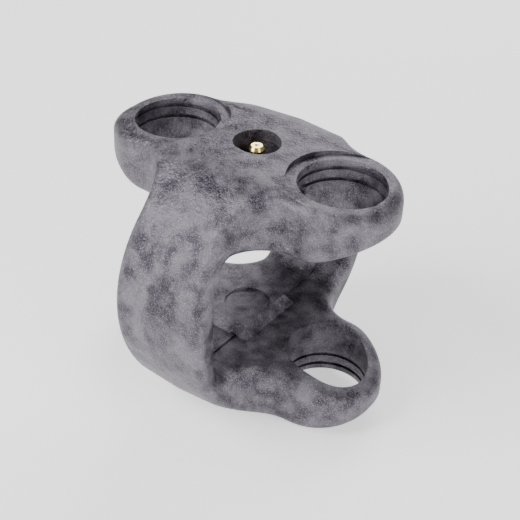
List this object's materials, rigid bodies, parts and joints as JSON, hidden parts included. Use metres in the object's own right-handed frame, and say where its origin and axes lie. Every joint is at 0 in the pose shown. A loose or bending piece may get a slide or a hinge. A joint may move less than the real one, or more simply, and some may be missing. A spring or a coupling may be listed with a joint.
{
  "type": "forged yoke",
  "caption": "Forged steel centre yoke of a wide-angle driveline joint, with paired ears bored for cross-bearing cups, a punched window and a recessed grease fitting.",
  "frame": {"origin": "where the drive axis meets the parting plane of the forging", "axes": "+X along the drive axis towards the ears nearer the parting plane's machined side, +Z along the bearing bores towards the grease fitting, +Y across, completing a right-handed set"},
  "size_m": [0.1324, 0.125, 0.1146],
  "materials": {
    "forged_steel": "grainy forged scale outside, bare turned steel in the bores",
    "fitting_brass": "satin",
    "ball_steel": "polished",
    "spring_steel": "drawn wire"
  },
  "bodies": {
    "yoke": {"yoke_forging": "forged_steel", "grease_fitting": "fitting_brass", "check_spring": "spring_steel"},
    "ball": {"check_ball": "ball_steel"}
  },
  "joints": [
    {"name": "check_ball_slide", "type": "slide", "parent": "yoke", "child": "ball", "axis": [0, 0, -1], "range_m": [0, 0.0006], "stiffness_N_per_m": 200, "springref_m": -0.002, "deforming": ["check_spring"]}
  ]
}
